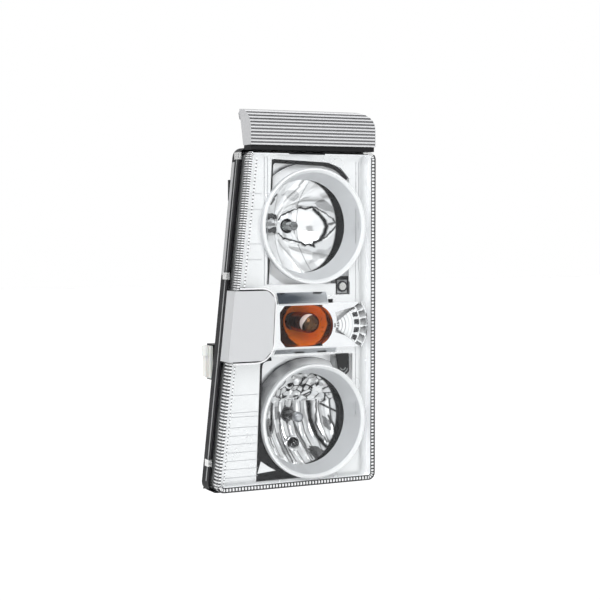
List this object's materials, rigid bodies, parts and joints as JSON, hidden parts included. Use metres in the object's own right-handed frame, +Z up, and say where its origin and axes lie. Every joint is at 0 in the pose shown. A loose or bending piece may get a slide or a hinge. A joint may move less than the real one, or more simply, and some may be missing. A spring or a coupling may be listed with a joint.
{
  "type": "headlight assembly",
  "caption": "Tall twin-reflector vehicle headlight: clear lens with fluted rim, two round satin rings, amber turn lamp between them, ribbed silver top trim, black sealed housing with rear caps.",
  "frame": {"origin": "centre of the four threaded fixings, on the plane of their rear faces; both beams lie on x = 0", "axes": "the lamp shines towards -Y, +Z is up, +X is to the right as seen from in front (towards the middle of the vehicle)"},
  "size_m": [0.2101, 0.1765, 0.4364],
  "materials": {
    "clear_lens": "clear moulded polycarbonate, hard-coated, fluted rim",
    "seal_rubber": "black foam rubber and sealant",
    "cap_rubber": "black moulded rubber, fine matt grain",
    "spring_steel": "bright spring steel",
    "zinc_steel": "bright zinc-plated steel",
    "silver_paint": "plastic in satin silver paint",
    "satin_ring": "plastic, satin metallised",
    "chromed_plastic": "plastic, vacuum-metallised bright",
    "mirror_bowl": "moulded bowl, vacuum-metallised mirror",
    "amber_chrome": "plastic, amber-lacquered metallising",
    "black_plastic": "black talc-filled polypropylene, fine grain",
    "dark_plastic": "dark grey moulded plastic",
    "grey_plastic": "grey glass-filled plastic",
    "nylon": "natural white nylon",
    "brass": "turned brass",
    "bulb_glass": "clear quartz glass",
    "amber_glass": "amber glass"
  },
  "bodies": {
    "housing": {"outer_lens": "clear_lens", "lens_seal": "seal_rubber", "lens_clips": "spring_steel", "ribbed_trim": "silver_paint", "trim_seal": "seal_rubber", "trim_screws": "zinc_steel", "trim_plate": "silver_paint", "housing": "black_plastic", "fixing_inserts": "brass", "cap_seals": "seal_rubber", "main_connector": "dark_plastic", "connector_blades": "brass", "breather_caps": "seal_rubber", "side_guide": "nylon", "inner_bezel": "chromed_plastic", "upper_ring": "satin_ring", "lower_ring": "satin_ring", "upper_shroud": "chromed_plastic", "lower_shroud": "chromed_plastic", "bezel_screws": "zinc_steel", "screw_posts": "grey_plastic", "turn_frame": "chromed_plastic", "fan_reflector": "chromed_plastic", "turn_bowl": "amber_chrome", "turn_holder_seal": "seal_rubber", "level_motor": "dark_plastic"},
    "carrier": {"carrier_frame": "grey_plastic", "trunnion_pins": "zinc_steel"},
    "high_beam": {"high_reflector": "mirror_bowl", "high_bulb_glass": "bulb_glass", "high_bulb_base": "zinc_steel", "high_bulb_plug": "dark_plastic"},
    "low_beam": {"low_reflector": "mirror_bowl", "low_bulb_glass": "bulb_glass", "low_bulb_base": "zinc_steel", "low_bulb_plug": "dark_plastic"},
    "tie_rod": {"tie_rod": "grey_plastic", "tie_rod_pins": "grey_plastic"},
    "high_clip": {"high_clip": "spring_steel"},
    "low_clip": {"low_clip": "spring_steel"},
    "position_lamp": {"position_bulb": "bulb_glass", "position_holder": "dark_plastic"},
    "turn_lamp": {"turn_bulb_glass": "amber_glass", "turn_bulb_base": "brass", "turn_holder": "grey_plastic"},
    "spindle": {"motor_spindle": "nylon"},
    "level_knob": {"level_knob": "nylon"},
    "yaw_nut": {"yaw_nut": "nylon"},
    "yaw_screw": {"yaw_screw": "zinc_steel"},
    "high_cap": {"high_cap": "cap_rubber"},
    "low_cap": {"low_cap": "cap_rubber"}
  },
  "joints": [
    {"name": "carrier_yaw", "type": "hinge", "parent": "housing", "child": "carrier", "pos_m": [0, -0.08, 0], "axis": [0, 0, 1], "range_deg": [-2.5, 2.5]},
    {"name": "low_beam_tilt", "type": "hinge", "parent": "carrier", "child": "low_beam", "pos_m": [0, -0.08, -0.114], "axis": [1, 0, 0], "range_deg": [-3, 3]},
    {"name": "high_beam_tilt", "type": "hinge", "parent": "carrier", "child": "high_beam", "pos_m": [0, -0.08, 0.113], "axis": [1, 0, 0], "range_deg": [-3, 3]},
    {"name": "tie_rod_lift", "type": "slide", "parent": "carrier", "child": "tie_rod", "axis": [0, 0, 1], "range_m": [-0.00135, 0.00135]},
    {"name": "spindle_slide", "type": "slide", "parent": "housing", "child": "spindle", "axis": [0, 1, 0], "range_m": [-0.0035, 0.0035]},
    {"name": "level_knob_turn", "type": "hinge", "parent": "housing", "child": "level_knob", "pos_m": [0, 0.035, -0.049], "axis": [0, 1, 0], "range_deg": [-410, 410]},
    {"name": "yaw_nut_slide", "type": "slide", "parent": "housing", "child": "yaw_nut", "axis": [0, 1, 0], "range_m": [-0.0027, 0.0027]},
    {"name": "yaw_screw_turn", "type": "hinge", "parent": "housing", "child": "yaw_screw", "pos_m": [0.0605, 0.004, 0], "axis": [0, 1, 0], "range_deg": [-480, 480]},
    {"name": "turn_lamp_twist", "type": "hinge", "parent": "housing", "child": "turn_lamp", "pos_m": [0, -0.06, 0], "axis": [0, 1, 0], "range_deg": [0, 45]},
    {"name": "position_lamp_pull", "type": "slide", "parent": "low_beam", "child": "position_lamp", "axis": [0, 1, 0], "range_m": [0, 0.018]},
    {"name": "high_clip_swing", "type": "hinge", "parent": "high_beam", "child": "high_clip", "pos_m": [0, -0.0385, 0.132], "axis": [1, 0, 0], "range_deg": [0, 70]},
    {"name": "low_clip_swing", "type": "hinge", "parent": "low_beam", "child": "low_clip", "pos_m": [0, -0.0385, -0.095], "axis": [1, 0, 0], "range_deg": [0, 70]},
    {"name": "high_cap_twist", "type": "hinge", "parent": "housing", "child": "high_cap", "pos_m": [0, 0.01, 0.113], "axis": [0, 1, 0], "range_deg": [0, 30]},
    {"name": "low_cap_twist", "type": "hinge", "parent": "housing", "child": "low_cap", "pos_m": [0, 0.01, -0.114], "axis": [0, 1, 0], "range_deg": [0, 30]}
  ],
  "couplings": [
    {"joint": "high_beam_tilt", "follows": "low_beam_tilt", "ratio": 1},
    {"joint": "tie_rod_lift", "follows": "low_beam_tilt", "m_per_rad": 0.025},
    {"joint": "spindle_slide", "follows": "low_beam_tilt", "m_per_rad": -0.065},
    {"joint": "level_knob_turn", "follows": "low_beam_tilt", "ratio": 136.14},
    {"joint": "yaw_nut_slide", "follows": "carrier_yaw", "m_per_rad": 0.0605},
    {"joint": "yaw_screw_turn", "follows": "carrier_yaw", "ratio": 190.07}
  ]
}
